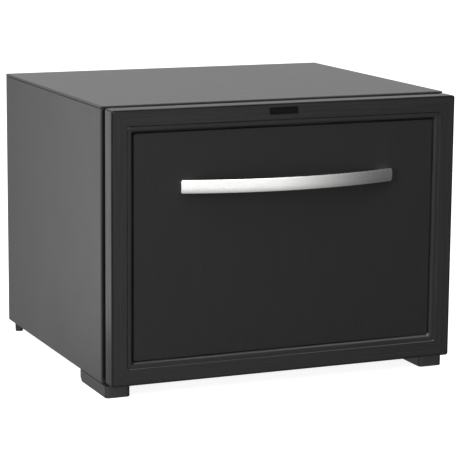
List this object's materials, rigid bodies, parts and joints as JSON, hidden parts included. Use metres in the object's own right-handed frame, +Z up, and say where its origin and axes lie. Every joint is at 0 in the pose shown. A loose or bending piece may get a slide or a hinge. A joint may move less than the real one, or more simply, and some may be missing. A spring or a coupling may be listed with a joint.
{
  "type": "drawer minibar cabinet",
  "caption": "Free-standing refrigerated minibar with one insulated drawer on telescopic slides, a bow handle and an absorption cooling unit in its open back.",
  "frame": {"origin": "middle of the whole outline in X and Y, on the floor under the feet", "axes": "+X to the right seen from the front, +Y to the back, +Z up; the drawer opens towards -Y"},
  "size_m": [0.49, 0.464, 0.377],
  "materials": {
    "cabinet_steel": "satin",
    "frame_plastic": "satin",
    "decor": "matte",
    "bright_metal": "satin",
    "zinc_steel": "satin",
    "white_liner": "satin",
    "foam": "matte",
    "black_foot": "matte",
    "rubber_foot": "matte",
    "gasket": "matte",
    "magnet": "matte",
    "black_steel": "matte",
    "aluminium": "satin",
    "bin_plastic": "satin",
    "clear_plastic": "gloss",
    "lens": "satin",
    "board": "satin",
    "black_plastic": "matte",
    "brass_pins": "polished"
  },
  "bodies": {
    "cabinet": {"left_side_panel": "cabinet_steel", "right_side_panel": "cabinet_steel", "top_panel": "cabinet_steel", "base_plate": "zinc_steel", "rear_rail": "zinc_steel", "rear_bulkhead": "zinc_steel", "foam_insulation": "foam", "inner_liner": "white_liner", "slide_backing_plates": "zinc_steel", "hatch_plug": "foam", "hatch_cover": "zinc_steel", "left_front_foot": "black_foot", "right_front_foot": "black_foot", "foot_screws": "zinc_steel", "rear_feet": "rubber_foot", "slide_screws": "zinc_steel", "evaporator_tube": "aluminium", "evaporator": "aluminium", "drip_tray": "white_liner", "absorber_vessel": "black_steel", "absorber_coil": "black_steel", "boiler_tube": "black_steel", "boiler_jacket": "zinc_steel", "heater_cartridge": "bright_metal", "condenser": "black_steel", "gas_heat_exchanger": "black_steel", "unit_brackets": "zinc_steel", "control_box": "black_plastic", "inlet_pins": "brass_pins", "mains_inlet": "black_plastic", "control_housing": "white_liner", "lamp_lens": "lens", "lamp_board": "board", "reed_switch": "white_liner", "left_slide_cabinet_member": "zinc_steel", "right_slide_cabinet_member": "zinc_steel"},
    "drawer": {"front_frame": "frame_plastic", "decor_panel": "decor", "front_foam": "foam", "front_back_liner": "white_liner", "gasket": "gasket", "gasket_magnets": "magnet", "handle": "bright_metal", "handle_screws": "zinc_steel", "left_bin_rail": "zinc_steel", "right_bin_rail": "zinc_steel", "rail_screws": "zinc_steel", "bin_cross_rail": "zinc_steel", "drawer_bin": "bin_plastic", "switch_magnet": "magnet", "left_slide_drawer_member": "zinc_steel", "right_slide_drawer_member": "zinc_steel"},
    "divider": {"bin_divider": "clear_plastic"},
    "knob": {"thermostat_knob": "black_plastic"},
    "left_middle": {"left_slide_middle_member": "zinc_steel"},
    "left_outer_cage": {"left_outer_ball_cage": "bright_metal"},
    "left_inner_cage": {"left_inner_ball_cage": "bright_metal"},
    "right_middle": {"right_slide_middle_member": "zinc_steel"},
    "right_outer_cage": {"right_outer_ball_cage": "bright_metal"},
    "right_inner_cage": {"right_inner_ball_cage": "bright_metal"}
  },
  "joints": [
    {"name": "drawer_slide", "type": "slide", "parent": "cabinet", "child": "drawer", "axis": [0, -1, 0], "range_m": [0, 0.25]},
    {"name": "divider_slide", "type": "slide", "parent": "drawer", "child": "divider", "axis": [0, 1, 0], "range_m": [-0.07, 0.07]},
    {"name": "thermostat_turn", "type": "hinge", "parent": "cabinet", "child": "knob", "pos_m": [0.154, -0.122, 0.3265], "axis": [0, 1, 0], "range_deg": [0, 270]},
    {"name": "left_middle_slide", "type": "slide", "parent": "cabinet", "child": "left_middle", "axis": [0, -1, 0], "range_m": [0, 0.125]},
    {"name": "left_outer_cage_slide", "type": "slide", "parent": "cabinet", "child": "left_outer_cage", "axis": [0, -1, 0], "range_m": [0, 0.0625]},
    {"name": "left_inner_cage_slide", "type": "slide", "parent": "cabinet", "child": "left_inner_cage", "axis": [0, -1, 0], "range_m": [0, 0.1875]},
    {"name": "right_middle_slide", "type": "slide", "parent": "cabinet", "child": "right_middle", "axis": [0, -1, 0], "range_m": [0, 0.125]},
    {"name": "right_outer_cage_slide", "type": "slide", "parent": "cabinet", "child": "right_outer_cage", "axis": [0, -1, 0], "range_m": [0, 0.0625]},
    {"name": "right_inner_cage_slide", "type": "slide", "parent": "cabinet", "child": "right_inner_cage", "axis": [0, -1, 0], "range_m": [0, 0.1875]}
  ],
  "couplings": [
    {"joint": "left_middle_slide", "follows": "drawer_slide", "ratio": 0.5},
    {"joint": "left_outer_cage_slide", "follows": "drawer_slide", "ratio": 0.25},
    {"joint": "left_inner_cage_slide", "follows": "drawer_slide", "ratio": 0.75},
    {"joint": "right_middle_slide", "follows": "drawer_slide", "ratio": 0.5},
    {"joint": "right_outer_cage_slide", "follows": "drawer_slide", "ratio": 0.25},
    {"joint": "right_inner_cage_slide", "follows": "drawer_slide", "ratio": 0.75}
  ]
}
